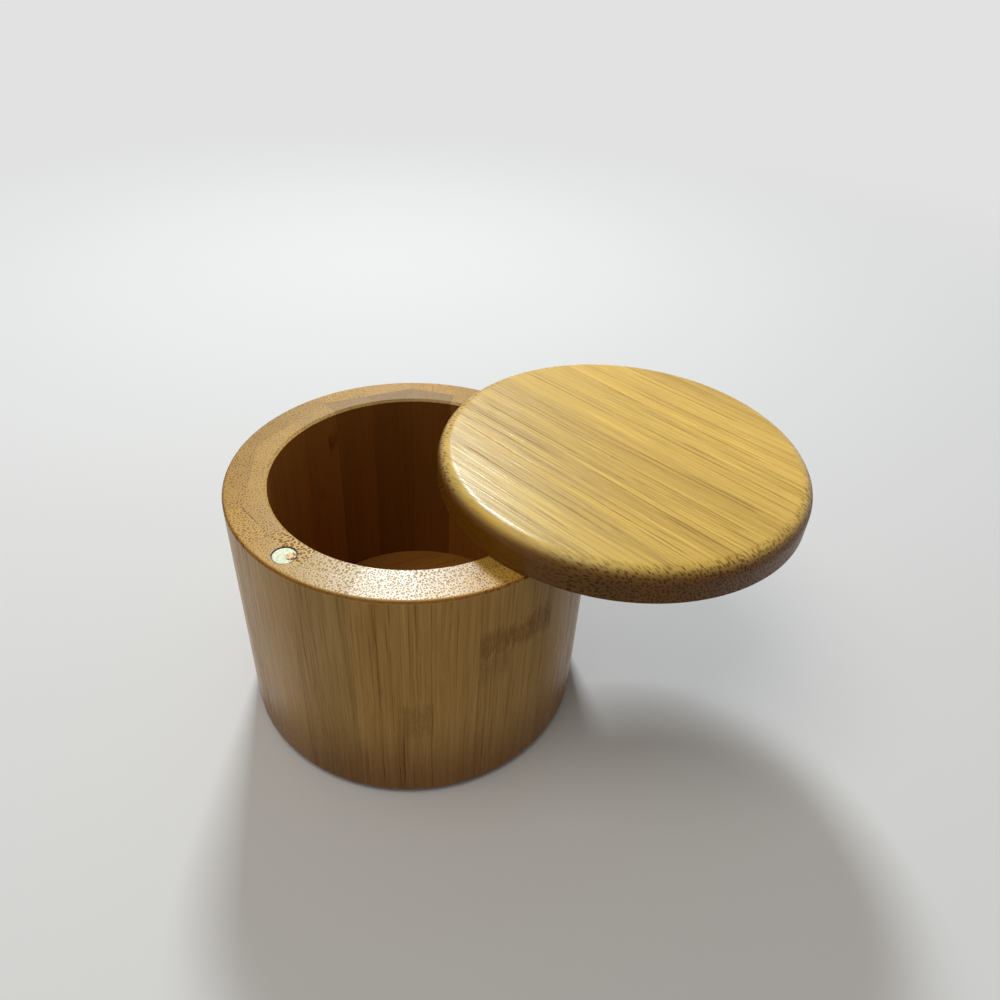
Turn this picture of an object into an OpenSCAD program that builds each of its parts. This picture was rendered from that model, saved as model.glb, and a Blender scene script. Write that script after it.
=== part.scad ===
// Round bamboo salt box with a lid that swivels on an upright pin.
// Millimetres, +Z up. The origin is the centre of the base, on the axis of the box.
// The lid is drawn opened by lid_open_a, which is where its joint reads zero.

/* [Box] */
// Outside diameter of the box and of the lid
body_d = 88.9; // [80:0.1:110]
// Height of the box from its base to its rim
body_h = 66.5; // [40:0.5:100]
// Thickness of the wall at the rim
wall_t = 10; // [9:0.1:12]
// Rounding of the rim's outer edge
rim_round = 0.8; // [0.3:0.1:1.5]
// Bevel of the rim's inner edge
rim_bevel = 0.6; // [0.2:0.1:1.2]
// Rounding of the edge that meets the table
foot_round = 2.5; // [1:0.1:4]

/* [Floor] */
// Thickness of the floor disc, which is flush with the base
floor_t = 11; // [6:0.5:16]
// How far the floor disc is let into the wall
floor_rebate = 2; // [1:0.1:2.5]

/* [Staves] */
// Number of staves round the wall, each two strips wide and two plies thick
stave_n = 10; // [8:1:12]
// Direction of the middle of the first stave
stave_turn = 0; // [-10:1:10]
// Thickness of the inner ply at the middle of a stave
inner_ply_t = 4.1; // [3.5:0.1:5]

/* [Lid] */
// Thickness of the lid
lid_t = 8.5; // [7:0.1:12]
// Rounding of the lid's upper edge
lid_round = 3.5; // [1:0.1:4.5]
// Bevel of the lid's lower edge
lid_bevel = 0.5; // [0.2:0.1:1]
// Height of the lid's underside above the rim
lid_gap = 0.3; // [0.2:0.05:0.6]
// Angle by which the lid stands open
lid_open_a = 78; // [60:1:180]
// Number of strips that the lid's panel is glued from
strip_n = 13; // [9:1:15]
// Width trimmed off the panel's first strip when the lid is turned
first_trim = 3.75; // [0:0.05:5]
// Width trimmed off the panel's last strip
last_trim = 4.85; // [0:0.05:5]
// Angle of the lid's grain to the line from the pin to the magnet
grain_skew = 4.5; // [0:0.5:10]

/* [Pin] */
// Direction of the pin from the middle of the box
pin_a = 47; // [35:1:50]
// Distance of the pin and the magnets from the outside of the wall
pin_inset = 4.5; // [4.2:0.1:5]
// Diameter of the pin
pin_d = 4; // [3:0.1:4.5]
// Depth of the pin in the wall
pin_seat = 16; // [10:0.5:25]
// Depth of the pin's bore in the lid
pin_bore_h = 5.5; // [3:0.1:6]
// Running clearance round the pin in the lid
pin_fit = 0.05; // [0.03:0.01:0.1]

/* [Magnets] */
// Diameter of a magnet
magnet_d = 5; // [4:0.1:6]
// Thickness of a magnet
magnet_t = 3; // [2:0.1:4]
// Gap all round a magnet in its hole
magnet_gap = 0.2; // [0.1:0.05:0.3]
// Depth of a magnet's face below the wood
magnet_drop = 0.15; // [0.1:0.05:0.3]

/* [Hidden] */
$fn = 180;
// Film of glue round the floor disc and the pin's seat
glue_t = 0.05;
// Overshoot of a cut past the face that it opens
cut = 1;
body_r = body_d / 2;
well_r = body_r - wall_t;
ply_r = well_r + inner_ply_t;
stave_step = 360 / stave_n;
rebate_r = well_r + floor_rebate;
far_r = 1.5 * body_r;
lid_z = body_h + lid_gap;
pin_r = pin_d / 2;
pin_ring_r = body_r - pin_inset;
pin_end_gap = lid_gap;
pin_top_z = lid_z + pin_bore_h - pin_end_gap;
hole_r = magnet_d / 2 + magnet_gap;
hole_h = magnet_t + magnet_drop;
strip_w = (body_d + first_trim + last_trim) / strip_n;
panel_edge = -body_r - first_trim;
function strip_name(i, ply, side) = str("stave_", i, "_", ply, "_", side);

// Corner of a square left outside a quarter circle, at [x, z], opening towards [sx, sz]
module round_cut(x, z, sx, sz, r) {
    translate([x, z]) mirror([sx < 0 ? 1 : 0, 0]) mirror([0, sz < 0 ? 1 : 0])
        difference() {
            translate([-r, -r]) square(r + cut);
            translate([-r, -r]) circle(r);
        }
}

// Triangle that bevels a corner at [x, z], opening towards [sx, sz]
module bevel_cut(x, z, sx, sz, b) {
    polygon([
        [x - sx * b, z + sz * cut],
        [x - sx * b, z],
        [x, z - sz * b],
        [x + sx * cut, z - sz * b],
        [x + sx * cut, z + sz * cut]
    ]);
}

// Half section of the turned wall
module wall_section() {
    difference() {
        translate([well_r, 0]) square([wall_t, body_h]);
        translate([well_r - cut, -cut]) square([floor_rebate + cut, floor_t + cut]);
        round_cut(body_r, body_h, 1, 1, rim_round);
        round_cut(body_r, 0, 1, -1, foot_round);
        bevel_cut(well_r, body_h, -1, 1, rim_bevel);
    }
}

// Half section of the turned lid, its underside at zero
module lid_section() {
    difference() {
        square([body_r, lid_t]);
        round_cut(body_r, lid_t, 1, 1, lid_round);
        bevel_cut(body_r, 0, 1, -1, lid_bevel);
    }
}

// Moves what follows to the pin's axis
module at_pin() {
    rotate(pin_a) translate([pin_ring_r, 0]) children();
}

// Moves what follows to the magnet's axis, across the box from the pin
module at_magnet() {
    rotate(pin_a + 180) translate([pin_ring_r, 0]) children();
}

// Turned wall with the pin's seat and the magnet's hole drilled from the rim
module wall() {
    difference() {
        rotate_extrude() wall_section();
        at_pin() translate([0, 0, body_h - pin_seat]) cylinder(r = pin_r + glue_t, h = pin_seat + cut);
        at_magnet() translate([0, 0, body_h - hole_h]) cylinder(r = hole_r, h = hole_h + cut);
    }
}

// Prism over half of one stave, from distance near to distance far, left and right as seen from outside
module stave_cell(i, near, far, side) {
    slope = tan(stave_step / 2);
    rotate(stave_turn + (i - 1) * stave_step) mirror([0, side == "left" ? 1 : 0, 0])
        translate([0, 0, -cut])
            linear_extrude(body_h + 2 * cut)
                polygon([[near, 0], [far, 0], [far, far * slope], [near, near * slope]]);
}

// One strip of a stave: each stave is two strips wide and two plies thick
module stave_strip(i, ply, side) {
    outer = ply == "outer";
    color(outer ? [0.72, 0.56, 0.34] : [0.8, 0.65, 0.42]) intersection() {
        wall();
        stave_cell(i, outer ? ply_r : well_r / 2, outer ? far_r : ply_r, side);
    }
}

module floor_disc() {
    color([0.6, 0.42, 0.22]) cylinder(r = rebate_r - glue_t, h = floor_t);
}

module pivot_pin() {
    color("silver") at_pin() translate([0, 0, body_h - pin_seat])
        cylinder(r = pin_r, h = pin_top_z - body_h + pin_seat);
}

module rim_magnet() {
    color("gainsboro") at_magnet() translate([0, 0, body_h - hole_h])
        cylinder(r = magnet_d / 2, h = magnet_t);
}

// Turns what follows about the pin, from the closed lid to the open one
module swung() {
    rotate(pin_a) translate([pin_ring_r, 0]) rotate(lid_open_a) translate([-pin_ring_r, 0])
        rotate(-pin_a) translate([0, 0, lid_z]) children();
}

// Closed lid with the pin's bore and the magnet's hole drilled from below
module lid_blank() {
    difference() {
        rotate_extrude() lid_section();
        at_pin() translate([0, 0, -cut]) cylinder(r = pin_r + pin_fit, h = pin_bore_h + cut);
        at_magnet() translate([0, 0, -cut]) cylinder(r = hole_r, h = hole_h + cut);
    }
}

// Slab over one strip of the panel, before the lid is turned from it
module strip_cell(i) {
    rotate(pin_a + grain_skew) translate([-far_r, panel_edge + (i - 1) * strip_w, -cut])
        cube([2 * far_r, strip_w, lid_t + 2 * cut]);
}

module lid_strip(i) {
    color([0.85, 0.7, 0.4]) swung() intersection() {
        lid_blank();
        strip_cell(i);
    }
}

module lid_magnet() {
    color("gainsboro") swung() at_magnet() translate([0, 0, magnet_drop])
        cylinder(r = magnet_d / 2, h = magnet_t);
}

for (i = [1:stave_n], ply = ["outer", "inner"], side = ["left", "right"])
    stave_strip(i, ply, side);
floor_disc();
pivot_pin();
rim_magnet();
for (i = [1:strip_n]) lid_strip(i);
lid_magnet();
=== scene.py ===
"""Round bamboo salt box whose flat lid swivels on an upright pin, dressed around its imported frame."""

import math
import random
from collections import namedtuple

import bmesh
import bpy
from mathutils import Matrix, Vector


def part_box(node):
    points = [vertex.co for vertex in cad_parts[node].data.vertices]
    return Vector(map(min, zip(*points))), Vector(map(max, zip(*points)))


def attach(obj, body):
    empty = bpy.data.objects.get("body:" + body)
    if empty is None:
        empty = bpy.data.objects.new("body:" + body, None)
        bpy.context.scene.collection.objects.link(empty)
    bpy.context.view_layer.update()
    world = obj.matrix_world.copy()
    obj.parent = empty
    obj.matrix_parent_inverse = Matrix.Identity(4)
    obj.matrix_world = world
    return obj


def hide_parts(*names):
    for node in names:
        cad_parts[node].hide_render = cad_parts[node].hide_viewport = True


bl_info = {
    "name": "Bamboo salt box",
    "version": (1, 0, 0),
    "blender": (4, 5, 0),
    "location": "3D View > Sidebar > Salt Box",
    "description": "Finishes a turned bamboo salt box with a swivelling lid, and sets its stage",
    "category": "Add Mesh",
}

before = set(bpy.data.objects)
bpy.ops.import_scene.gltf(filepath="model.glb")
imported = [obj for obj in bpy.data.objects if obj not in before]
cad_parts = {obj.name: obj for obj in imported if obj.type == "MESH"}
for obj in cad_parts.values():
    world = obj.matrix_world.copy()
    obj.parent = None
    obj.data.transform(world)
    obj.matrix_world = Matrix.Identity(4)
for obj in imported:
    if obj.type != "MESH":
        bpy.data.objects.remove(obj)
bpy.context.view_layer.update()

MM = 0.001
SIDES = ("left", "right")
PLIES = ("outer", "inner")
STAVE_COUNT = sum(name.endswith("_outer_left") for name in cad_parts)
STAVE_STEP = math.tau / STAVE_COUNT
LID_STRIP_COUNT = sum(name.startswith("lid_strip_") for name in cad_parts)
LID_STRIPS = [f"lid_strip_{i}" for i in range(1, LID_STRIP_COUNT + 1)]


def corners(names):
    """Lowest and highest corner of a group of CAD nodes."""
    boxes = [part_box(name) for name in names]
    low = Vector([min(box[0][k] for box in boxes) for k in range(3)])
    high = Vector([max(box[1][k] for box in boxes) for k in range(3)])
    return low, high


LID_LOW, LID_HIGH = corners(LID_STRIPS)
LID_MIDDLE = (LID_LOW + LID_HIGH) / 2
BOX_R = corners([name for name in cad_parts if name.startswith("stave_")])[1].x
FLOOR_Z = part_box("floor_disc")[1].z
PLY_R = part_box("stave_1_inner_left")[1].x

# Seeds for what differs by chance from strip to strip
WALL_SEED = 11
LID_SEED = 5
# Gaps in millimetres: all round a magnet in its hole, and between its glue and the hole
HOLE_GAP = 0.2
GLUE_GAP = 0.02
# Share of a magnet's side, from its face down, that its glue reaches
GLUE_SHARE = 0.6
# Thickness and radius of the chip on the rim's magnet, and its place from the magnet's middle
CHIP_T = 0.12 * MM
CHIP_R = 1.1 * MM
CHIP_OFF = Vector((1.45, -0.3, 0)) * MM
# Strips of the floor disc: their width and the place of one joint in millimetres, and their direction
FLOOR_STRIP_W = 7.0
FLOOR_JOINT = 0.5
FLOOR_GRAIN = math.radians(20)
# Sides of a round piece, and the angle between two faces above which their edge stays sharp
ROUND_SIDES = 96
SHARP_ANGLE = math.radians(40)

# Specular level of the lacquer on the wall and on the lid, and its tint
WALL_GLOSS = 0.26
LID_GLOSS = 0.35
GLOSS_TINT = (0.73, 0.9, 1.0)
# Share of the gloss that the coarsest bamboo loses
COARSE_LOSS = 0.4
# Roughness where there is no lacquer, and the share of the gloss that is left there
BARE_ROUGHNESS = 0.75
BARE_GLOSS = 0.3
# How bare a wholly dark fibre is
FIBRE_BARENESS = 0.75
# Share of the wall's colour that the rim's inner bevel shows: a painted highlight where the bevel catches
# the light
BEVEL_PAINTED_HIGHLIGHT = (1.3, 1.45, 1.9)
# Heights in millimetres between which the painted shade on the foot of the wall fades out
FOOT_SHADE_FADE = (1.0, 30.0)


def srgb(red, green, blue):
    """Linear colour for the 0 to 255 values that a colour is usually written in."""
    parts = [value / 255 for value in (red, green, blue)]
    return tuple(p / 12.92 if p <= 0.04045 else ((p + 0.055) / 1.055) ** 2.4 for p in parts)


# How one strip of bamboo differs from the rest. Coarse is 0 for fine fibre bundles and 1 for thick sparse
# ones, joint is how dark the glue line between the plies shows on the rim, and dots is the share of the
# contrast that the bundles keep there
Strip = namedtuple("Strip", "lightness warmth coarse contrast joint dots", defaults=(0.12, 1.0))

# A dark fibre line. On the lid, place is its distance across the grain from the lid's middle, and start
# and end lie along the grain. On the wall, place is its direction in degrees, and start and end are heights
Streak = namedtuple("Streak", "place start end strength")

# Where a ply's strips cross a joint of the bamboo cane: directions in degrees, heights in millimetres
Knuckle = namedtuple("Knuckle", "ply start end low high strength")

WALL_STRIPS = {
    # The low lightness of the inner strips of staves 3 and 4 paints the shade on the far wall of the well,
    # and darkens their part of the rim too
    "stave_3_inner_right": Strip(0.6, 0.08, 0.2, 0.7),
    "stave_4_inner_left": Strip(0.54, 0.1, 0.3, 0.7),
    "stave_4_inner_right": Strip(0.66, 0.08, 0.2, 0.7),
    "stave_5_inner_left": Strip(0.92, 0.0, 0.3, 0.8),
    "stave_5_inner_right": Strip(1.03, 0.0, 0.3, 0.8),
    "stave_5_outer_left": Strip(0.88, 0.0, 0.3, 1.0),
    "stave_5_outer_right": Strip(0.82, 0.0, 0.3, 1.0),
    "stave_6_inner_left": Strip(1.02, 0.0, 0.3, 0.9),
    "stave_6_inner_right": Strip(1.02, 0.03, 0.2, 0.9, 0.2),
    "stave_6_outer_left": Strip(0.84, 0.05, 0.3, 1.1),
    "stave_6_outer_right": Strip(0.88, 0.08, 0.3, 1.2, 0.2),
    "stave_7_inner_left": Strip(0.96, 0.0, 0.2, 0.9, 0.85),
    "stave_7_inner_right": Strip(1.12, -0.08, 1.0, 1.35),
    "stave_7_outer_left": Strip(1.07, 0.02, 0.3, 1.2, 0.85),
    "stave_7_outer_right": Strip(1.05, 0.04, 0.1, 0.8),
    # The faint dots on the rim of the stave 8 and 9 strips, and the cool tone of the inner stave 8 strips,
    # paint in part the bluish sheen that washes out the dots there
    "stave_8_inner_left": Strip(0.95, -0.08, 0.9, 0.35),
    "stave_8_inner_right": Strip(0.99, -0.08, 0.2, 0.25),
    "stave_8_outer_left": Strip(0.98, -0.03, 0.7, 1.0, 0.5, 0.35),
    "stave_8_outer_right": Strip(1.06, 0.06, 0.2, 1.1, 0.12, 0.26),
    "stave_9_inner_left": Strip(1.0, 0.0, 0.4, 0.4),
    "stave_9_outer_left": Strip(1.13, 0.04, 0.3, 0.9, 0.12, 0.45),
    "stave_9_outer_right": Strip(1.1, 0.05, 0.3, 1.0),
    "stave_10_outer_left": Strip(1.06, 0.05, 0.3, 1.0),
    "stave_10_outer_right": Strip(0.95, 0.0, 0.3, 1.0),
}
WALL_STREAKS = (
    Streak(-123.0, 40, 66, 0.65),
    Streak(-119.0, 50, 66, 0.3),
    Streak(-112.0, 6, 26, 0.45),
    Streak(-105.8, 4, 60, 0.35),
    Streak(-100.8, 8, 66, 0.55),
    Streak(-97.2, 10, 50, 0.5),
    Streak(-95.8, 6, 40, 0.5),
    Streak(-94.3, 8, 66, 0.45),
    Streak(-89.0, 38, 56, 0.55),
    Streak(-86.0, 4, 66, 0.5),
    Streak(-79.0, 42, 64, 0.35),
    Streak(-72.3, 6, 64, 0.45),
    Streak(-70.0, 12, 44, 0.55),
    Streak(-68.4, 24, 42, 0.55),
    Streak(-62.0, 20, 44, 0.35),
    Streak(-56.5, 8, 44, 0.35),
)
KNUCKLES = (
    Knuckle("outer", -72, -47, 46, 54, 0.7),
    Knuckle("outer", -72, -62, 38, 47, 0.35),
    Knuckle("outer", -94, -86, 23, 34, 0.4),
    Knuckle("inner", 126.5, 131, 55, 61, 1.0),
    Knuckle("inner", 136, 139.5, 41, 44, 0.7),
    Knuckle("outer", 28, 46, 14, 22, 0.5),
    Knuckle("outer", 92, 118, 38, 47, 0.5),
    Knuckle("outer", 160, 180, 26, 34, 0.5),
)
LID_LOOKS = {
    1: Strip(0.96, 0.05, 0.3, 1.1),
    2: Strip(0.94, 0.05, 0.3, 1.1),
    3: Strip(1.05, 0.0, 0.3, 1.0),
    4: Strip(1.06, 0.02, 0.3, 1.2),
    5: Strip(1.01, 0.0, 0.5, 1.3),
    6: Strip(1.01, 0.0, 0.4, 1.1),
    7: Strip(0.93, 0.02, 0.4, 1.2),
    8: Strip(0.99, 0.0, 0.4, 1.4),
    9: Strip(0.97, 0.0, 0.6, 1.5),
    10: Strip(0.95, 0.0, 0.5, 1.5),
    11: Strip(0.99, -0.03, 0.4, 1.4),
    12: Strip(0.95, -0.06, 0.4, 1.4),
}
FLOOR_LOOK = Strip(0.9, 0.0, 0.2, 1.0)
LID_STREAKS = (
    Streak(33.6, -12, 20, 0.5),
    Streak(31.5, -18, 9, 0.9),
    Streak(25.6, -30, 30, 0.35),
    Streak(20.2, 12, 26, 0.7),
    Streak(17.3, -31, -14, 0.5),
    Streak(17.3, -7, 7, 0.9),
    Streak(12.8, 11, 14.5, 1.0),
    Streak(11.0, -20, 34, 0.6),
    Streak(9.3, -36, -13, 0.7),
    Streak(2.6, 20, 38, 0.6),
    Streak(2.0, -26, -12, 0.5),
    Streak(-2.8, -28, -8, 0.4),
    Streak(-5.1, -16, 3, 0.6),
    Streak(-5.6, 1, 34, 0.9),
    Streak(-7.6, 20, 38, 0.5),
    Streak(-10.6, -34, 6, 0.9),
    Streak(-10.8, 6, 20, 0.4),
    Streak(-12.6, -32, -10, 0.5),
    Streak(-13.6, 3, 37, 1.0),
    Streak(-15.0, -31, -8, 0.6),
    Streak(-17.8, -30, 9, 0.7),
    Streak(-19.6, 10, 26, 0.6),
    Streak(-21.4, -30, 30, 1.0),
    Streak(-25.9, 3, 16, 0.7),
    Streak(-28.1, -22, 14, 0.7),
    Streak(-33.5, -11, 10, 0.5),
)


def colour_setting(name, description, default):
    """A colour, or a share of each part of one."""
    return bpy.props.FloatVectorProperty(
        name=name, description=description, subtype="COLOR", size=3, min=0, max=1, default=default)


def place_setting(name, description, default):
    """A point, in metres."""
    return bpy.props.FloatVectorProperty(
        name=name, description=description, subtype="XYZ_LENGTH", size=3, default=default)


def length_setting(name, description, default, low, high):
    """A length, in metres."""
    return bpy.props.FloatProperty(
        name=name, description=description, unit="LENGTH", default=default, min=low, max=high)


class SaltBoxWood(bpy.types.PropertyGroup):
    """Colours and figure of the bamboo."""

    lid_ground: colour_setting(
        "Lid ground", "Colour of the lid between its fibres", srgb(217, 178, 83))
    lid_fibre: colour_setting(
        "Lid fibre", "Colour of the lid's dark fibres", srgb(122, 82, 4))
    # The lid's edge keeps less of its colour where oil soaks into the cut fibres, and darker still as
    # painted shade on the round-over that turns from the light
    lid_edge_oil_and_shade: colour_setting(
        "Lid edge", "Share of the lid's colour that its oiled edge keeps", (0.29, 0.18, 0.06))
    wall_ground: colour_setting(
        "Wall ground", "Colour of the wall between its fibres", srgb(206, 160, 88))
    wall_fibre: colour_setting(
        "Wall fibre", "Colour of the wall's dark fibres", srgb(122, 68, 12))
    rim_shade: colour_setting(
        "Rim shade", "Share of the wall's colour that the end grain of the rim keeps", (0.74, 0.73, 0.42))
    # The rounded edges keep less of the wall's colour where oil soaks into the cut fibres; the same share
    # paints the shade at the foot of the wall
    wall_edge_and_foot_shade: colour_setting(
        "Wall edge", "Share of the wall's colour that its rounded edges keep", (0.52, 0.4, 0.26))
    # The well's share is painted shade that falls inside the well
    painted_well_shade: colour_setting(
        "Well shade", "Share of the wall's colour that the unpolished well keeps", (0.63, 0.45, 0.27))
    pith: colour_setting(
        "Pith", "Colour of the soft wood round a bundle of fibres", srgb(232, 200, 136))
    knuckle: colour_setting(
        "Knuckle", "Colour of a bamboo joint where a strip crosses one", srgb(112, 56, 20))
    glue: colour_setting(
        "Glue line", "Colour of a glue joint between strips", srgb(70, 44, 10))
    bundle_fine: bpy.props.FloatProperty(
        name="Fine bundles", description="Fibre bundles per millimetre in dense bamboo",
        default=1.8, min=0.5, max=6)
    bundle_coarse: bpy.props.FloatProperty(
        name="Coarse bundles", description="Fibre bundles per millimetre in open bamboo",
        default=1.3, min=0.5, max=6)
    tone_spread: bpy.props.FloatProperty(
        name="Tone spread", description="How far one strip's tone may lie from the next one's",
        default=0.07, min=0, max=0.4)


class SaltBoxMetal(bpy.types.PropertyGroup):
    """Colours and small sizes of the pin, the magnets and their glue."""

    nickel: colour_setting(
        "Nickel", "Colour of the magnets' plating", srgb(188, 190, 164))
    steel: colour_setting(
        "Steel", "Colour of the pivot pin", srgb(176, 176, 172))
    resin: colour_setting(
        "Resin", "Colour of the glue round a magnet", srgb(58, 46, 18))
    edge_break: length_setting(
        "Edge break", "Width of the broken edges of the pin and the magnets",
        0.25 * MM, 0.02 * MM, 0.5 * MM)
    resin_drop: length_setting(
        "Resin drop", "Depth of the glue below the magnet's face", 0.1 * MM, 0.02 * MM, 0.5 * MM)


class SaltBoxStage(bpy.types.PropertyGroup):
    """Camera, lamps and floor."""

    camera_place: place_setting(
        "Camera", "Where the camera stands", (0, -0.15665, 0.17826))
    camera_target: place_setting(
        "Target", "Point that the camera looks at", (0.02161, 0, 0.05741))
    camera_roll: bpy.props.FloatProperty(
        name="Roll", description="Turn of the camera about its own line of sight",
        default=math.radians(3.66), subtype="ANGLE")
    camera_lens: bpy.props.FloatProperty(
        name="Lens", description="Focal length in millimetres on a 36 mm sensor",
        default=28.4, min=10, max=200)
    lamp_target: place_setting(
        "Lamp target", "Point that both lamps face", (0.02, 0, 0.06))
    softbox_place: place_setting(
        "Softbox place", "Where the lamp behind the box stands", (-0.02, 0.593, 0.665))
    softbox_size: length_setting(
        "Softbox size", "Width of the lamp behind the box", 0.14, 0.02, 2)
    softbox_power: bpy.props.FloatProperty(
        name="Softbox power", description="Power of the lamp behind the box, in watts",
        default=5.6, min=0, max=50)
    softbox_colour: colour_setting(
        "Softbox colour", "Colour of the lamp behind the box", (0.88, 0.95, 1.0))
    fill_place: place_setting(
        "Fill place", "Where the lamp above the box stands", (-0.25, -0.15, 0.95))
    fill_size: length_setting(
        "Fill size", "Width of the lamp above the box", 0.6, 0.02, 2)
    fill_power: bpy.props.FloatProperty(
        name="Fill power", description="Power of the lamp above the box, in watts",
        default=3.0, min=0, max=50)
    fill_colour: colour_setting(
        "Fill colour", "Colour of the lamp above the box", (1.0, 0.95, 0.87))
    sky: bpy.props.FloatProperty(
        name="Sky", description="Strength of the light from all round",
        default=0.27, min=0, max=2)
    floor_tone: bpy.props.FloatProperty(
        name="Floor tone", description="Grey of the backdrop and of the far floor as they are seen",
        default=0.76, min=0, max=1)
    floor_colour: colour_setting(
        "Floor colour", "Colour of the floor near the box, where the lamps light it", (0.7, 0.69, 0.675))
    floor_bounce: bpy.props.FloatProperty(
        name="Floor bounce", description="Grey of the floor in the light that it sends back to the box",
        default=0.17, min=0, max=1)
    floor_reach: length_setting(
        "Floor reach", "Half of the floor's width", 3, 1, 10)


class Graph:
    """Adds nodes to one node tree and links them, so that a material reads as a list of steps."""

    def __init__(self, tree):
        self.tree = tree

    def add(self, kind, **settings):
        node = self.tree.nodes.new(kind)
        for name, value in settings.items():
            setattr(node, name, value)
        return node

    def feed(self, socket, value):
        """Links a socket to another, or sets it to a number or colour."""
        if isinstance(value, bpy.types.NodeSocket):
            self.tree.links.new(value, socket)
        elif socket.type == "RGBA" and len(value) == 3:
            socket.default_value = (*value, 1)
        else:
            socket.default_value = value

    def math(self, operation, *values):
        node = self.add("ShaderNodeMath", operation=operation)
        for socket, value in zip(node.inputs, values):
            self.feed(socket, value)
        return node.outputs[0]

    def times(self, a, b):
        return self.math("MULTIPLY", a, b)

    def plus(self, a, b):
        return self.math("ADD", a, b)

    def minus(self, a, b):
        return self.math("SUBTRACT", a, b)

    def total(self, first, *rest):
        for value in rest:
            first = self.plus(first, value)
        return first

    def size(self, a):
        return self.math("ABSOLUTE", a)

    def least(self, first, *rest):
        for value in rest:
            first = self.math("MINIMUM", first, value)
        return first

    def most(self, first, *rest):
        for value in rest:
            first = self.math("MAXIMUM", first, value)
        return first

    def wrap(self, value, low, high):
        """Value brought between low and high by whole steps of their distance."""
        return self.math("WRAP", value, high, low)

    def vector(self, operation, a, b):
        node = self.add("ShaderNodeVectorMath", operation=operation)
        self.feed(node.inputs[0], a)
        self.feed(node.inputs[1], b)
        return node.outputs[0]

    def length(self, a):
        node = self.add("ShaderNodeVectorMath", operation="LENGTH")
        self.feed(node.inputs[0], a)
        return node.outputs["Value"]

    def parts(self, vector):
        node = self.add("ShaderNodeSeparateXYZ")
        self.feed(node.inputs[0], vector)
        return node.outputs

    def join(self, x, y, z):
        node = self.add("ShaderNodeCombineXYZ")
        for socket, value in zip(node.inputs, (x, y, z)):
            self.feed(socket, value)
        return node.outputs[0]

    def step(self, value, low, high, start=0.0, end=1.0):
        """Smooth step from start to end as value goes from low to high."""
        node = self.add("ShaderNodeMapRange", interpolation_type="SMOOTHSTEP")
        for socket, number in zip(node.inputs, (value, low, high, start, end)):
            self.feed(socket, number)
        return node.outputs[0]

    def window(self, value, low, high, soft):
        """One between low and high, and nothing beyond soft outside them."""
        rise = self.step(value, low - soft, low)
        return self.times(rise, self.step(value, high, high + soft, 1.0, 0.0))

    def blend(self, factor, a, b, mode="MIX", clamp=True):
        node = self.add("ShaderNodeMix", data_type="RGBA", blend_type=mode, clamp_factor=clamp)
        self.feed(node.inputs["Factor"], factor)
        self.feed(node.inputs[6], a)
        self.feed(node.inputs[7], b)
        return node.outputs[2]

    def lerp(self, factor, a, b):
        node = self.add("ShaderNodeMix", data_type="FLOAT")
        self.feed(node.inputs[0], factor)
        self.feed(node.inputs[2], a)
        self.feed(node.inputs[3], b)
        return node.outputs[0]

    def noise(self, vector, stretch, detail=2.0, roughness=0.5, output=0):
        """Noise at a frequency of stretch per millimetre along each axis."""
        node = self.add("ShaderNodeTexNoise")
        self.feed(node.inputs["Vector"], self.vector("MULTIPLY", vector, stretch))
        self.feed(node.inputs["Scale"], 1.0)
        self.feed(node.inputs["Detail"], detail)
        self.feed(node.inputs["Roughness"], roughness)
        return node.outputs[output]

    def centred(self, vector, stretch, detail=2.0, roughness=0.5):
        """Noise about zero."""
        return self.minus(self.noise(vector, stretch, detail, roughness), 0.5)

    def cells(self, vector, scale, dimensions="2D"):
        """Distance to the nearest of scattered points, and random numbers for each."""
        node = self.add("ShaderNodeTexVoronoi", voronoi_dimensions=dimensions)
        self.feed(node.inputs["Vector"], vector)
        self.feed(node.inputs["Scale"], scale)
        self.feed(node.inputs["Randomness"], 0.9)
        return node.outputs["Distance"], self.parts(node.outputs["Color"])

    def millimetres(self):
        """Place on the piece, in millimetres."""
        given = self.add("ShaderNodeTexCoord").outputs["Object"]
        return self.vector("MULTIPLY", given, (1 / MM, 1 / MM, 1 / MM))


BAMBOO_INPUTS = {
    "Vector": ("Place",),
    "Float": (
        "Endness", "Slant", "Seam", "Streaks", "Knuckle",
        "Bundles", "Thickness", "Halo", "Contrast", "Seed"),
    "Color": ("Ground", "Fibre", "Pith", "End", "Edge", "Glue", "Knuckle colour"),
}
BAMBOO_OUTPUTS = {"Color": ("Colour",), "Float": ("Roughness", "Dull", "Height")}


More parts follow.
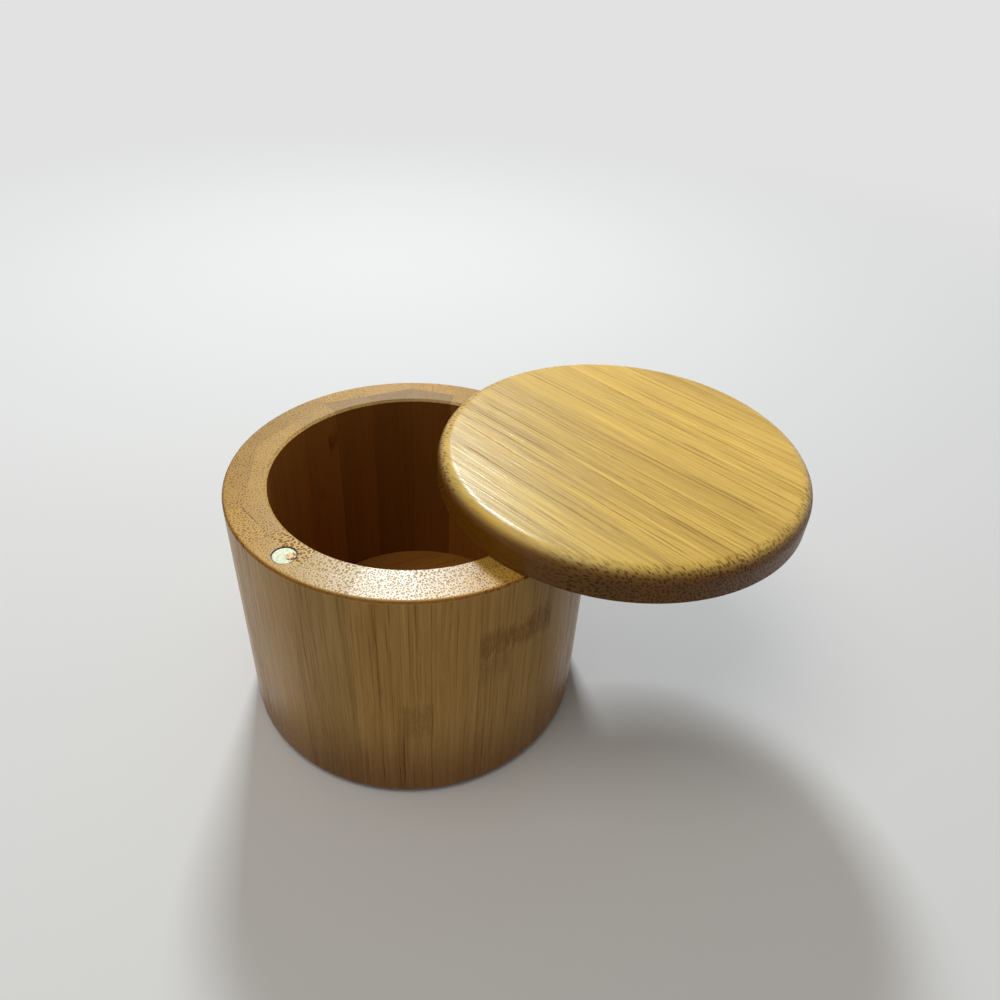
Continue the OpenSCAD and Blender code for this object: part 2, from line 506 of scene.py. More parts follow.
def bamboo_group():
    """Solid bamboo, its fibres along Z of the place, so that a cut across them shows dots."""
    tree = bpy.data.node_groups.new("solid_bamboo", "ShaderNodeTree")
    for in_out, kinds in (("INPUT", BAMBOO_INPUTS), ("OUTPUT", BAMBOO_OUTPUTS)):
        for kind, names in kinds.items():
            for name in names:
                tree.interface.new_socket(name, in_out=in_out, socket_type=f"NodeSocket{kind}")
    g = Graph(tree)
    given = g.add("NodeGroupInput").outputs
    knuckle = given["Knuckle"]
    endness = given["Endness"]
    long_way = g.minus(1.0, endness)

    # Each strip is cut from its own part of the cane
    seed = given["Seed"]
    part = g.join(g.times(seed, 37.1), g.times(seed, 19.7), g.times(seed, 53.3))
    place = g.vector("ADD", given["Place"], part)

    # Fibres wander a little, and more where a strip crosses a knuckle
    drift = g.vector("SUBTRACT", g.noise(place, (0.04, 0.04, 0.012), 1.0, output=1), (0.5, 0.5, 0.5))
    shake = g.vector("SUBTRACT", g.noise(place, (0.3, 0.3, 0.12), 2.0, output=1), (0.5, 0.5, 0.5))
    drift = g.vector("MULTIPLY", drift, (3.2, 2.6, 0))
    reach = g.plus(g.times(knuckle, 1.1), 0.22)
    shake = g.vector("MULTIPLY", shake, g.join(reach, reach, 0.0))
    bent = g.vector("ADD", place, g.vector("ADD", drift, shake))

    # Bundles of fibres, which a cut across them shows as dots with a pale sheath
    distance, tint = g.cells(g.vector("MULTIPLY", bent, (1.0, 0.82, 1.0)), given["Bundles"])
    inside = g.minus(distance, g.plus(g.times(tint[0], 0.1), given["Thickness"]))
    core = g.times(g.step(inside, -0.08, 0.06, 1.0, 0.0), g.plus(g.times(tint[1], 0.5), 0.5))
    sheath = g.times(g.window(inside, 0.06, 0.13, 0.07), endness)

    # Along the fibres: soft bands, threads, thin veins that are darker or paler, and short dashes
    band = g.centred(bent, (0.3, 0.2, 0.005), 2.0, 0.5)
    hair = g.centred(bent, (1.8, 1.8, 0.018), 3.0, 0.65)
    thread = g.centred(bent, (3.8, 3.8, 0.06), 2.0, 0.6)
    cane = g.noise(bent, (1.7, 1.7, 0.02), 1.0)
    patchy = g.step(g.noise(bent, (0.3, 0.3, 0.02), 1.0), 0.42, 0.62)
    vein = g.times(g.step(cane, 0.6, 0.66), patchy)
    pale = g.step(cane, 0.4, 0.32)
    dash_far, dash_tint = g.cells(g.vector("MULTIPLY", bent, (1.7, 1.7, 0.06)), 1.0, "3D")
    dash = g.times(g.step(dash_far, 0.06, 0.2, 1.0, 0.0), g.step(dash_tint[0], 0.68, 0.8))
    speckle = g.centred(place, (5.0, 5.0, 5.0), 1.0)

    # How dark the wood is, from its ground to its fibres, and darker still where a streak is drawn
    lines = g.total(
        0.14, g.times(thread, 0.8), g.times(hair, 0.85), g.times(band, 0.6), g.times(vein, 0.25),
        g.times(pale, -0.14), g.times(dash, 0.28), g.times(speckle, 0.3))
    dots = g.total(
        0.02, g.times(core, 0.85), g.times(speckle, 0.6), g.times(hair, 0.3), g.times(band, 0.4))
    figure = g.lerp(g.step(endness, 0.06, 0.42), lines, dots)
    broken = g.plus(g.times(g.noise(bent, (3.0, 3.0, 0.45), 2.0), 1.1), 0.15)
    figure = g.plus(g.times(figure, given["Contrast"]), g.times(given["Streaks"], broken))
    figure = g.least(g.most(figure, -0.25), 0.82)

    # The ground is darker on a cut end, and the pale sheaths show there
    cut = g.blend(1.0, given["Ground"], given["End"], "MULTIPLY")
    ground = g.blend(g.step(endness, 0.5, 0.9), given["Ground"], cut)
    ground = g.blend(g.times(sheath, given["Halo"]), ground, given["Pith"])
    colour = g.blend(figure, ground, given["Fibre"], clamp=False)

    # Rounded edges cut the fibres aslant and take up more oil. The same mix carries painted shade on the
    # lid's round-over and the wall's foot, and a painted highlight on the rim's inner bevel
    darker = g.blend(1.0, colour, given["Edge"], "MULTIPLY")
    colour = g.blend(given["Slant"], colour, darker)

    # A knuckle is a mottled darker patch
    mottle = g.step(g.noise(bent, (1.6, 1.6, 0.6), 3.0, 0.75), 0.36, 0.66)
    mottle = g.plus(g.times(mottle, 0.55), 0.45)
    colour = g.blend(g.times(g.times(mottle, knuckle), 0.8), colour, given["Knuckle colour"])

    # Glue joints, which show more in one place than in another
    seam = g.times(given["Seam"], g.step(g.noise(place, (0.2, 0.2, 0.2), 2.0), 0.35, 0.55, 0.2, 1.0))
    colour = g.blend(seam, colour, given["Glue"])

    # Threads catch a tool, and bundles, dashes and joints lie a little below the rest
    rough = g.plus(0.27, g.times(thread, 0.25))
    rough = g.plus(rough, g.times(g.times(core, endness), 0.1))
    height = g.times(g.plus(g.times(thread, 0.5), g.times(hair, 0.4)), long_way)
    height = g.minus(height, g.times(core, 0.35))
    height = g.minus(height, g.times(g.times(dash, long_way), 0.4))
    height = g.minus(height, g.times(seam, 0.5))
    out = g.add("NodeGroupOutput")
    g.feed(out.inputs["Colour"], colour)
    g.feed(out.inputs["Roughness"], rough)
    g.feed(out.inputs["Dull"], g.most(figure, 0.0, g.times(knuckle, 0.7)))
    g.feed(out.inputs["Height"], height)
    return tree


def solid_bamboo():
    """The bamboo group, made once."""
    return bpy.data.node_groups.get("solid_bamboo") or bamboo_group()


def new_material(name):
    """Empty material with a shader and its output, and the graph to add to."""
    material = bpy.data.materials.new(name)
    material.use_nodes = True
    material.node_tree.nodes.clear()
    g = Graph(material.node_tree)
    shader = g.add("ShaderNodeBsdfPrincipled")
    out = g.add("ShaderNodeOutputMaterial")
    g.feed(out.inputs["Surface"], shader.outputs[0])
    return material, g, shader


def turned_place(g, angle, middle=(0, 0)):
    """Place in millimetres and object normal, both turned so that X lies along angle."""
    given = g.add("ShaderNodeTexCoord")
    shift = g.vector("SUBTRACT", given.outputs["Object"], (*middle, 0))
    place = g.add("ShaderNodeMapping", vector_type="POINT")
    g.feed(place.inputs["Vector"], shift)
    place.inputs["Rotation"].default_value = (0, 0, -angle)
    place.inputs["Scale"].default_value = (1 / MM, 1 / MM, 1 / MM)
    normal = g.add("ShaderNodeMapping", vector_type="POINT")
    g.feed(normal.inputs["Vector"], given.outputs["Normal"])
    normal.inputs["Rotation"].default_value = (0, 0, -angle)
    return g.parts(place.outputs[0]), g.parts(normal.outputs[0])


def wood_shader(g, shader, facts, gloss, bare):
    """Adds the bamboo group, feeds it facts and gives the shader what comes out.

    Bare is one where there is no lacquer. Dark fibres take little of it anywhere.
    """
    bamboo = g.add("ShaderNodeGroup", node_tree=solid_bamboo())
    for name, value in facts.items():
        g.feed(bamboo.inputs[name], value)
    g.feed(shader.inputs["Base Color"], bamboo.outputs["Colour"])
    roughness = shader.inputs["Roughness"]
    level = shader.inputs["Specular IOR Level"]
    if bare == 1:
        roughness.default_value = BARE_ROUGHNESS
        level.default_value = gloss * BARE_GLOSS
    else:
        dull = g.most(bare, g.times(bamboo.outputs["Dull"], FIBRE_BARENESS))
        g.feed(roughness, g.lerp(dull, bamboo.outputs["Roughness"], BARE_ROUGHNESS))
        level.default_value = gloss
        g.feed(level, g.lerp(dull, gloss, gloss * BARE_GLOSS))
    shader.inputs["Specular Tint"].default_value = (*GLOSS_TINT, 1)
    bump = g.add("ShaderNodeBump")
    bump.inputs["Strength"].default_value = 0.4
    bump.inputs["Distance"].default_value = 0.06 * MM
    g.feed(bump.inputs["Height"], bamboo.outputs["Height"])
    g.feed(shader.inputs["Normal"], bump.outputs[0])


def toned(colour, lightness, warmth=0.0):
    """A colour made lighter or darker, and warmer or cooler."""
    red, green, blue = colour
    return (
        min(1, red * lightness * (1 + warmth * 0.5)),
        min(1, green * lightness),
        min(1, blue * lightness * (1 - warmth)),
    )


def strip_facts(wood, look, ground, fibre):
    """What the bamboo group takes the same way on every strip."""
    return {
        "Ground": toned(ground, look.lightness, look.warmth),
        "Fibre": toned(fibre, look.lightness, look.warmth),
        "Pith": wood.pith[:],
        "End": (1, 1, 1),
        "Glue": wood.glue[:],
        "Knuckle colour": wood.knuckle[:],
        "Bundles": wood.bundle_fine + (wood.bundle_coarse - wood.bundle_fine) * look.coarse,
        "Thickness": 0.22 + 0.11 * look.coarse,
        "Halo": 0.08 + 0.4 * look.coarse,
        "Contrast": look.contrast,
    }


def seam_line(g, gap):
    """One on a joint that lies gap away, and nothing beyond it."""
    return g.step(gap, 0.03, 0.14, 1.0, 0.0)


def drawn_strip(wood, draws):
    """How a strip that nothing singles out differs from the rest."""
    spread = wood.tone_spread
    return Strip(1 + draws.uniform(-spread, spread), draws.uniform(-0.06, 0.06), draws.uniform(0, 0.5), 1.0)


def streak_lines(g, streaks, across, along):
    """Dark lines, each at its place across the fibres and between its ends along them."""
    total = 0.0
    wobble = g.times(g.centred(g.join(across, 0.0, along), (0.02, 0.02, 0.05), 2.0), 0.9)
    for at, start, end, strength in streaks:
        gap = g.size(g.minus(g.plus(across, wobble), at))
        line = g.step(gap, 0.04, 0.19, strength, 0.0)
        line = g.times(line, g.window(along, start, end, 5.0))
        total = line if total == 0.0 else g.most(total, line)
    return total


def paint_well_shade(g, wood, facts, inside):
    """Paints the shade that falls in the well into the wood where inside is one."""
    for key in ("Ground", "Fibre"):
        shade = tuple(a * b for a, b in zip(facts[key], wood.painted_well_shade))
        facts[key] = g.blend(inside, facts[key], shade)


def dress(name, material):
    """Gives a CAD node its material."""
    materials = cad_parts[name].data.materials
    materials.clear()
    materials.append(material)


def strip_name(index, ply, side):
    """Name of the CAD node of one strip of a stave."""
    return f"stave_{index}_{ply}_{side}"


def from_stave(direction, angle):
    """A direction in radians as an angle from the stave at angle, within half a turn."""
    return (direction - angle + math.pi) % math.tau - math.pi


def is_within(off, ends):
    """True if an angle lies between a strip's two ends, or within a hair of them."""
    return ends[0] - 0.001 <= off <= ends[1] + 0.001


def wall_strip_material(wood, index, ply, side, draws):
    """Bamboo for one strip of a stave, its fibres upright."""
    name = strip_name(index, ply, side)
    material, g, shader = new_material(f"bamboo_{name}")
    angle = (index - 1) * STAVE_STEP
    half = STAVE_STEP / 2
    ends = (0, half) if side == "right" else (-half, 0)
    (radial, across, height), normal = turned_place(g, angle)
    drawn = drawn_strip(wood, draws)
    look = WALL_STRIPS.get(name, drawn)
    facts = strip_facts(wood, look, wood.wall_ground, wood.wall_fibre)
    endness = g.size(normal[2])
    upright = g.step(endness, 0.04, 0.3, 1.0, 0.0)
    on_rim = look.contrast * look.dots
    if ply == "inner":
        # Painted shade on the well's wall
        paint_well_shade(g, wood, facts, upright)
        facts["Contrast"] = g.lerp(upright, on_rim, look.contrast * 0.6)
        # Painted highlight on the rim's inner bevel
        facts["Slant"] = g.window(endness, 0.6, 0.8, 0.1)
        facts["Edge"] = BEVEL_PAINTED_HIGHLIGHT
    else:
        streaks = wall_streaks(angle, ends)
        if streaks:
            facts["Streaks"] = g.times(streak_lines(g, streaks, across, height), upright)
        facts["Contrast"] = g.lerp(upright, on_rim, look.contrast)
        # Painted shade darkens the foot of the wall, mixed in through the same share as the oiled rounded
        # edge
        foot_shade = g.step(height, *FOOT_SHADE_FADE, 1.0, 0.0)
        facts["Slant"] = g.most(g.window(endness, 0.35, 0.8, 0.18), foot_shade)
        facts["Edge"] = wood.wall_edge_and_foot_shade[:]
    patches = [patch for patch in KNUCKLES if patch.ply == ply]
    knuckle = knuckle_patches(g, patches, ends, angle, radial, across, height)
    slope_gap = g.minus(g.times(radial, math.sin(half)), g.times(g.size(across), math.cos(half)))
    ply_gap = g.size(g.minus(radial, PLY_R / MM))
    seam = g.times(seam_line(g, g.least(g.size(across), slope_gap)), g.lerp(upright, 0.12, 0.3))
    seam = g.most(seam, g.times(seam_line(g, ply_gap), look.joint))
    facts.update({
        "Place": g.join(across, radial, height),
        "Endness": endness,
        "End": wood.rim_shade[:],
        "Knuckle": g.times(knuckle, upright),
        "Seam": g.most(seam, magnet_stain(g, ends, angle, radial, across)),
        "Seed": draws.uniform(0, 10),
    })
    gloss = WALL_GLOSS * (1 - COARSE_LOSS * look.coarse)
    wood_shader(g, shader, facts, gloss, upright if ply == "inner" else 0.0)
    return material


def wall_streaks(angle, ends):
    """The drawn streaks that lie on one strip, their places across it in millimetres."""
    streaks = []
    for streak in WALL_STREAKS:
        off = from_stave(math.radians(streak.place), angle)
        if is_within(off, ends):
            streaks.append(streak._replace(place=BOX_R / MM * math.sin(off)))
    return streaks


def magnet_stain(g, ends, angle, radial, across):
    """Glue that stains the wood round the rim's magnet, on the strips that hold it."""
    low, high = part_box("rim_magnet")
    middle = (low + high) / 2 / MM
    if not is_within(from_stave(math.atan2(middle.y, middle.x), angle), ends):
        return 0.0
    middle.rotate(Matrix.Rotation(-angle, 3, "Z"))
    off = g.join(g.minus(radial, middle.x), g.minus(across, middle.y), 0.0)
    hole_r = (high.x - low.x) / 2 / MM + HOLE_GAP
    return g.step(g.minus(g.length(off), hole_r), 0.05, 0.35, 0.9, 0.0)


def knuckle_patches(g, patches, ends, angle, radial, across, height):
    """Where the strip between two ends of the stave at angle crosses a joint of the cane."""
    total = 0.0
    turn = g.math("ARCTAN2", across, radial)
    ragged = g.centred(g.join(across, radial, height), (0.5, 0.5, 0.12), 3.0)
    ragged = g.plus(height, g.times(ragged, 9.0))
    for patch in patches:
        off = from_stave(math.radians((patch.start + patch.end) / 2), angle)
        reach = math.radians((patch.end - patch.start) / 2)
        if off + reach <= ends[0] or off - reach >= ends[1]:
            continue
        sideways = g.window(turn, off - reach, off + reach, 0.006)
        tall = g.window(ragged, patch.low + 2.5, patch.high - 2.5, 4.5)
        spot = g.times(g.times(sideways, tall), patch.strength)
        total = spot if total == 0.0 else g.most(total, spot)
    return total


def lid_grain():
    """Direction of the lid's grain, square to the flat joint that its middle strip shows most of."""
    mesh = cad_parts[LID_STRIPS[LID_STRIP_COUNT // 2]].data
    upright = [face for face in mesh.polygons if abs(face.normal.z) < 0.01]
    joint = max(upright, key=lambda face: face.area)
    across = math.atan2(joint.normal.y, joint.normal.x)
    return across % math.pi - math.pi / 2


def lid_strip_material(wood, index, grain, low, high, draws):
    """Bamboo for one strip of the lid, its fibres lying along the grain."""
    material, g, shader = new_material(f"bamboo_lid_strip_{index}")
    (along, across, height), normal = turned_place(g, grain, LID_MIDDLE.xy)
    drawn = drawn_strip(wood, draws)
    look = LID_LOOKS.get(index, drawn)
    facts = strip_facts(wood, look, wood.lid_ground, wood.lid_fibre)
    level = g.size(normal[2])
    streaks = [s for s in LID_STREAKS if low / MM <= s.place < high / MM]
    if streaks:
        facts["Streaks"] = g.times(streak_lines(g, streaks, across, along), g.step(level, 0.8, 0.99))
    gap = g.least(g.size(g.minus(across, low / MM)), g.size(g.minus(across, high / MM)))
    flat = g.step(level, 0.86, 0.998)
    # The round-over darkens with its slope: oil in the cut fibres, and painted shade where it turns from
    # the light
    facts.update({
        "Place": g.join(across, height, along),
        "Endness": g.size(normal[0]),
        "Contrast": g.lerp(flat, look.contrast * 0.8, look.contrast),
        "Slant": g.step(level, 0.42, 0.985, 1.0, 0.0),
        "Edge": wood.lid_edge_oil_and_shade[:],
        "Seam": g.times(seam_line(g, gap), g.step(level, 0.9, 0.995, 0.1, 0.45)),
        "Seed": draws.uniform(0, 10),
    })
    # The underside has no lacquer, and the steep edge a little less than the top
    bare = g.most(g.step(normal[2], -0.9, -0.99), g.step(level, 0.5, 0.95, 0.2, 0.0))
    wood_shader(g, shader, facts, LID_GLOSS, bare)
    return material


def floor_disc_material(wood):
    """Bamboo for the disc that closes the well, its strips lying flat."""
    material, g, shader = new_material("bamboo_floor_disc")
    (along, across, height), normal = turned_place(g, FLOOR_GRAIN)
    facts = strip_facts(wood, FLOOR_LOOK, wood.wall_ground, wood.wall_fibre)
    # Painted shade on the face of the disc that lies in the well
    paint_well_shade(g, wood, facts, g.step(g.minus(height, FLOOR_Z / MM), -0.3, -0.1))
    next_joint = FLOOR_JOINT + FLOOR_STRIP_W
    gap = g.minus(next_joint, g.wrap(across, FLOOR_JOINT, next_joint))
    facts.update({
        "Place": g.join(across, height, along),
        "Endness": g.size(normal[0]),
        "Seam": g.times(seam_line(g, gap), 0.4),
        "Seed": 4.2,
    })
    wood_shader(g, shader, facts, WALL_GLOSS, 1)
    return material


class SALTBOX_OT_wall(bpy.types.Operator):
    """Finish the strips of the wall's staves"""

    bl_idname = "saltbox.wall"
    bl_label = "Wall strips"

    def execute(self, context):
        wood = context.scene.salt_box_wood
        draws = random.Random(WALL_SEED)
        for index in range(1, STAVE_COUNT + 1):
            for ply in PLIES:
                for side in SIDES:
                    dress(strip_name(index, ply, side), wall_strip_material(wood, index, ply, side, draws))
        return {"FINISHED"}


class SALTBOX_OT_floor_disc(bpy.types.Operator):
    """Finish the disc that closes the well"""

    bl_idname = "saltbox.floor_disc"
    bl_label = "Floor disc"

    def execute(self, context):
        dress("floor_disc", floor_disc_material(context.scene.salt_box_wood))
        return {"FINISHED"}


class SALTBOX_OT_lid(bpy.types.Operator):
    """Finish the strips that the lid is glued from"""

    bl_idname = "saltbox.lid"
    bl_label = "Lid strips"

    def execute(self, context):
        wood = context.scene.salt_box_wood
        draws = random.Random(LID_SEED)
        grain = lid_grain()
        sideways = Vector((-math.sin(grain), math.cos(grain)))
        for index, name in enumerate(LID_STRIPS, 1):
            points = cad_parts[name].data.vertices
            offsets = [(point.co.xy - LID_MIDDLE.xy).dot(sideways) for point in points]
            dress(name, lid_strip_material(wood, index, grain, min(offsets), max(offsets), draws))
        return {"FINISHED"}


def metal_material(name, colour, metallic, smooth, rough):
    """Scuffed metal whose roughness lies between smooth and rough."""
    material, g, shader = new_material(name)
    scuff = g.noise(g.millimetres(), (1.6, 1.6, 1.6), 4.0, 0.7)
    g.feed(shader.inputs["Base Color"], g.blend(g.step(scuff, 0.4, 0.8), colour, toned(colour, 0.72)))
    shader.inputs["Metallic"].default_value = metallic
    g.feed(shader.inputs["Roughness"], g.step(scuff, 0.3, 0.7, smooth, rough))
    return material


def resin_material(colour):
    """Dark glue, paler and duller where dust lies on it."""
    material, g, shader = new_material("amber_resin")
    dust = g.step(g.noise(g.millimetres(), (1.5, 1.5, 1.5), 3.0), 0.35, 0.65)
    g.feed(shader.inputs["Base Color"], g.blend(dust, colour, toned(colour, 2.2)))
    g.feed(shader.inputs["Roughness"], g.step(dust, 0.0, 1.0, 0.25, 0.6))
    return material


def chip_material(wood):
    """Broken bamboo, pale with dark spots."""
    material, g, shader = new_material("bamboo_splinter")
    spots = g.step(g.noise(g.millimetres(), (1.3, 1.3, 1.3), 2.0), 0.5, 0.58)
    g.feed(shader.inputs["Base Color"], g.blend(spots, wood.pith[:], wood.wall_fibre[:]))
    shader.inputs["Roughness"].default_value = 0.6
    return material


def deselect():
    """Clears the selection, because the loaded frame and each new primitive come selected."""
    bpy.ops.object.select_all(action="DESELECT")


def edit_faces(piece, chosen):
    """Opens a piece in edit mode with only the faces selected that chosen picks."""
    bpy.context.view_layer.objects.active = piece
    bpy.ops.object.mode_set(mode="EDIT")
    bpy.ops.mesh.select_mode(type="FACE")
    bpy.ops.mesh.select_all(action="DESELECT")
    mesh = bmesh.from_edit_mesh(piece.data)
    for face in mesh.faces:
        face.select_set(chosen(face))
    mesh.select_flush(True)
    bmesh.update_edit_mesh(piece.data)


def settle(piece, name, material, body):
    """Names a finished piece, puts its place in its mesh and fastens it to its body."""
    if bpy.context.mode != "OBJECT":
        bpy.ops.object.mode_set(mode="OBJECT")
    deselect()
    piece.select_set(True)
    bpy.context.view_layer.objects.active = piece
    bpy.ops.object.transform_apply(location=True, rotation=True, scale=True)
    bpy.ops.object.shade_smooth_by_angle(angle=SHARP_ANGLE)
    piece.name = name
    piece.data.name = name
    piece.data.materials.clear()
    piece.data.materials.append(material)
    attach(piece, body)


def edge_broken_rod(low, high, edge_break):
    """Upright round rod that fills the box from low to high, with both ends' edges bevelled."""
    deselect()
    bpy.ops.mesh.primitive_cylinder_add(
        vertices=ROUND_SIDES, radius=(high.x - low.x) / 2, depth=high.z - low.z,
        end_fill_type="NGON", location=(low + high) / 2)
    rod = bpy.context.object
    edit_faces(rod, lambda face: abs(face.normal.z) > 0.9)
    bpy.ops.mesh.region_to_loop()
    bpy.ops.mesh.bevel(offset=edge_break, segments=4, affect="EDGES")
    return rod


def dish_ends(rod, width, depth):
    """Sinks both end faces by depth inside a rim of the given width."""
    edit_faces(rod, lambda face: abs(face.normal.z) > 0.99 and len(face.verts) > 8)
    bpy.ops.mesh.inset(thickness=width, depth=0)
    bpy.ops.mesh.inset(thickness=width / 2, depth=-depth)
    bpy.ops.object.mode_set(mode="OBJECT")


def glue_ring(middle, inner, outer, bottom, top):
    """Upright ring between two radii and two heights."""
    deselect()
    bpy.ops.mesh.primitive_circle_add(
        vertices=ROUND_SIDES, radius=outer, fill_type="NGON", location=(*middle.xy, bottom))
    ring = bpy.context.object
    edit_faces(ring, lambda face: True)
    bpy.ops.mesh.inset(thickness=outer - inner, depth=0)
    bpy.ops.mesh.delete(type="FACE")
    bpy.ops.mesh.select_all(action="SELECT")
    bpy.ops.mesh.extrude_region_move(TRANSFORM_OT_translate={"value": (0, 0, top - bottom)})
    bpy.ops.mesh.select_all(action="SELECT")
    bpy.ops.mesh.normals_make_consistent(inside=False)
    return ring


def magnet_and_glue(node, body, up, nickel, resin, metal):
    """Models one magnet, which faces up or down, and the ring of glue round it near its face."""
    low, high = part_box(node)
    disc = edge_broken_rod(low, high, metal.edge_break)
    dish_ends(disc, width=0.35 * MM, depth=0.02 * MM)
    settle(disc, f"{node}_disc", nickel, body)
    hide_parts(node)
    radius = (high.x - low.x) / 2
    reach = radius + (HOLE_GAP - GLUE_GAP) * MM
    face = high.z if up > 0 else low.z
    sunk = face - up * metal.resin_drop
    deep = face - up * (high.z - low.z) * GLUE_SHARE
    ring = glue_ring((low + high) / 2, radius, reach, min(sunk, deep), max(sunk, deep))
    settle(ring, f"{node}_glue", resin, body)


def magnet_chip(wood):
    """Models the chip of bamboo that glue has caught on the rim's magnet."""
    low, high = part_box("rim_magnet")
    middle = (low + high) / 2
    deselect()
    bpy.ops.mesh.primitive_cylinder_add(
        vertices=11, radius=CHIP_R, depth=CHIP_T, end_fill_type="NGON",
        location=Vector((*middle.xy, high.z + CHIP_T / 2)) + CHIP_OFF)
    chip = bpy.context.object
    edit_faces(chip, lambda face: face.normal.z > 0.9)
    bpy.ops.mesh.inset(thickness=0.15 * MM, depth=0)
    settle(chip, "rim_magnet_splinter", chip_material(wood), "box")


class SALTBOX_OT_magnets(bpy.types.Operator):
    """Model the magnets in the rim and the lid, the glue that holds them and what sticks to it"""

    bl_idname = "saltbox.magnets"
    bl_label = "Magnets"

    def execute(self, context):
        metal = context.scene.salt_box_metal
        nickel = metal_material("nickel_plate", metal.nickel[:], 0.5, 0.56, 0.68)
        resin = resin_material(metal.resin[:])
        magnet_and_glue("rim_magnet", "box", 1, nickel, resin, metal)
        magnet_and_glue("lid_magnet", "lid", -1, nickel, resin, metal)
        magnet_chip(context.scene.salt_box_wood)
        return {"FINISHED"}


class SALTBOX_OT_pin(bpy.types.Operator):
    """Model the steel pin that the lid turns on"""

    bl_idname = "saltbox.pin"
    bl_label = "Pivot pin"

    def execute(self, context):
        metal = context.scene.salt_box_metal
        low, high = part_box("pivot_pin")
        pin = edge_broken_rod(low, high, metal.edge_break)
        dish_ends(pin, width=0.7 * MM, depth=0.15 * MM)
        steel = metal_material("ground_steel", metal.steel[:], 1.0, 0.2, 0.34)
        settle(pin, "pivot_pin_rod", steel, "box")
        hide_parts("pivot_pin")
        return {"FINISHED"}


def area_lamp(name, aim, place, size, power, colour):
    """Soft square lamp at place, facing aim."""
    light = bpy.data.lights.new(name, "AREA")
    light.size = size
    light.energy = power
    light.color = colour
    lamp = bpy.data.objects.new(name, light)
    bpy.context.scene.collection.objects.link(lamp)
    lamp.location = place
    lamp.rotation_euler = (Vector(aim) - Vector(place)).to_track_quat("-Z", "Y").to_euler()


def seen_directly(g):
    """One for rays from the camera, and for those that metal or glass sends on."""
    path = g.add("ShaderNodeLightPath").outputs
    return g.most(path["Is Camera Ray"], path["Is Glossy Ray"], path["Is Transmission Ray"])


def pale_surround(tree, tone_seen, strength_lit):
    """Background that the camera and metal see pale, and that lights the object plainly."""
    g = Graph(tree)
    tree.nodes.clear()
    background = g.add("ShaderNodeBackground")
    background.inputs["Color"].default_value = (1, 1, 1, 1)
    g.feed(background.inputs["Strength"], g.lerp(seen_directly(g), strength_lit, tone_seen))
    out = g.add("ShaderNodeOutputWorld")
    g.feed(out.inputs["Surface"], background.outputs[0])


def pale_floor(tone, colour, bounce):
    """Floor that takes the object's shadow, and far from it looks as even as the backdrop."""
    material, g, shader = new_material("pale_floor")
    seen = seen_directly(g)
    g.feed(shader.inputs["Base Color"], g.blend(seen, (bounce,) * 3, colour))
    shader.inputs["Roughness"].default_value = 0.9
    shader.inputs["Specular IOR Level"].default_value = 0.1
    away = g.length(g.add("ShaderNodeTexCoord").outputs["Object"])
    glow = g.add("ShaderNodeEmission")
    glow.inputs["Strength"].default_value = tone
    mix = g.add("ShaderNodeMixShader")
    g.feed(mix.inputs[0], g.times(g.step(away, 0.15, 0.7), seen))
    g.feed(mix.inputs[1], shader.outputs[0])
    g.feed(mix.inputs[2], glow.outputs[0])
    g.feed(g.tree.nodes["Material Output"].inputs["Surface"], mix.outputs[0])
    return material


def lay_floor(stage):
    """Adds the floor, which isn't part of the model."""
    deselect()
    bpy.ops.mesh.primitive_plane_add(size=2 * stage.floor_reach)
    floor = bpy.context.object
    floor.name = "floor"
    floor.data.materials.append(pale_floor(stage.floor_tone, stage.floor_colour[:], stage.floor_bounce))


def place_camera(scene, stage):
    """Adds the camera that the scene is seen through."""
    camera = bpy.data.cameras.new("camera")
    camera.sensor_width = 36
    camera.lens = stage.camera_lens
    camera.clip_start = 0.005
    holder = bpy.data.objects.new("camera", camera)
    scene.collection.objects.link(holder)
    sight = Vector(stage.camera_target) - Vector(stage.camera_place)
    turn = sight.to_track_quat("-Z", "Y").to_matrix().to_4x4()
    roll = Matrix.Rotation(stage.camera_roll, 4, "Z")
    holder.matrix_world = Matrix.Translation(stage.camera_place) @ turn @ roll
    scene.camera = holder


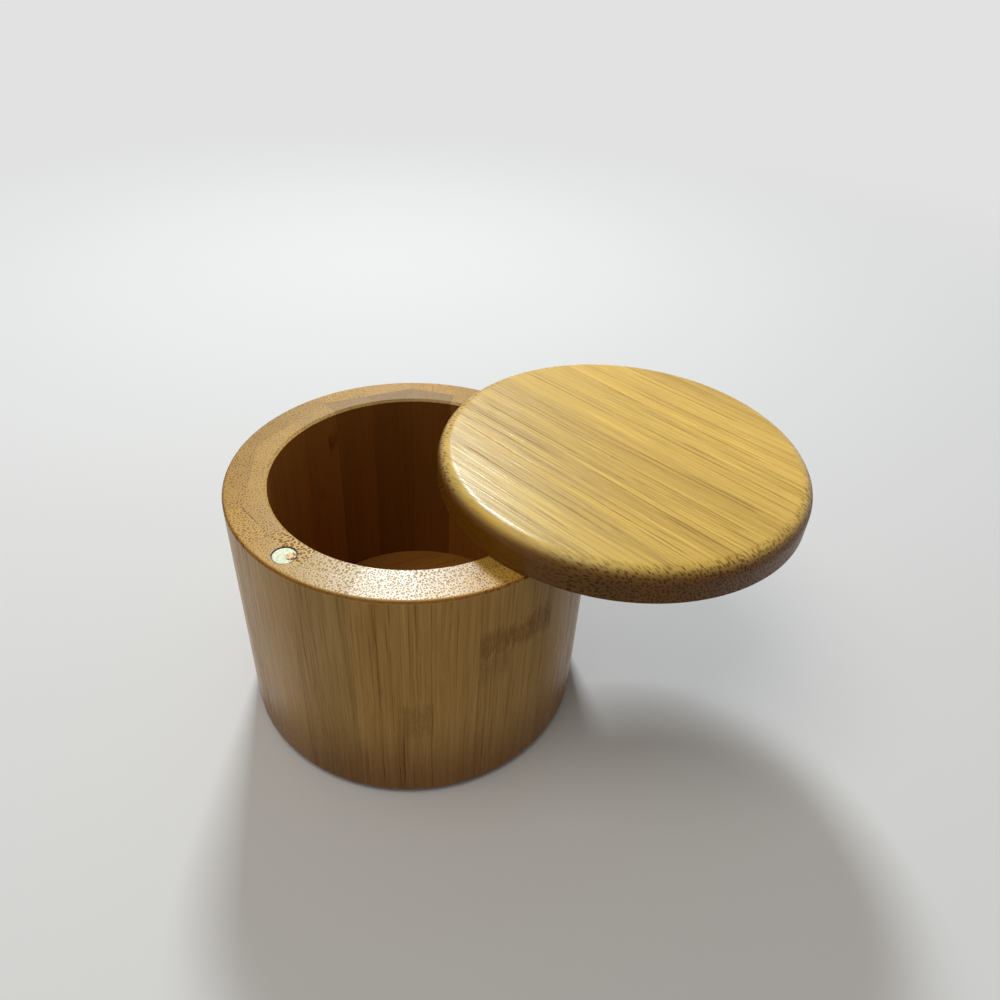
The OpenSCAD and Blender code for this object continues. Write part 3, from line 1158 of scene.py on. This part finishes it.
class SALTBOX_OT_stage(bpy.types.Operator):
    """Set the floor, the lamps, the backdrop and the camera"""

    bl_idname = "saltbox.stage"
    bl_label = "Stage"

    def execute(self, context):
        scene = context.scene
        stage = scene.salt_box_stage
        scene.view_settings.view_transform = "Standard"
        lay_floor(stage)
        scene.world = bpy.data.worlds.new("pale_surround")
        scene.world.use_nodes = True
        pale_surround(scene.world.node_tree, stage.floor_tone, stage.sky)
        for name in ("softbox", "fill"):
            settings = [getattr(stage, f"{name}_{key}") for key in ("place", "size", "power", "colour")]
            area_lamp(name, stage.lamp_target, *settings)
        place_camera(scene, stage)
        return {"FINISHED"}


class SALTBOX_PT_panel(bpy.types.Panel):
    """Lists the salt box's sizes, colours and pieces"""

    bl_idname = "SALTBOX_PT_panel"
    bl_label = "Salt Box"
    bl_space_type = "VIEW_3D"
    bl_region_type = "UI"
    bl_category = "Salt Box"

    def draw(self, context):
        layout = self.layout
        for name in SETTINGS:
            settings = getattr(context.scene, name)
            box = layout.box()
            for key in settings.__annotations__:
                box.prop(settings, key)
        for operator in OPERATORS:
            layout.operator(operator.bl_idname)


SETTINGS = {"salt_box_wood": SaltBoxWood, "salt_box_metal": SaltBoxMetal, "salt_box_stage": SaltBoxStage}
OPERATORS = (
    SALTBOX_OT_wall,
    SALTBOX_OT_floor_disc,
    SALTBOX_OT_lid,
    SALTBOX_OT_magnets,
    SALTBOX_OT_pin,
    SALTBOX_OT_stage,
)
CLASSES = (*SETTINGS.values(), *OPERATORS, SALTBOX_PT_panel)


def register():
    for cls in CLASSES:
        bpy.utils.register_class(cls)
    for name, cls in SETTINGS.items():
        setattr(bpy.types.Scene, name, bpy.props.PointerProperty(type=cls))


def unregister():
    for name in SETTINGS:
        delattr(bpy.types.Scene, name)
    for cls in reversed(CLASSES):
        bpy.utils.unregister_class(cls)


def main():
    register()
    for operator in OPERATORS:
        group, name = operator.bl_idname.split(".")
        getattr(getattr(bpy.ops, group), name)()
    bpy.context.view_layer.update()


if __name__ == "__main__":
    main()
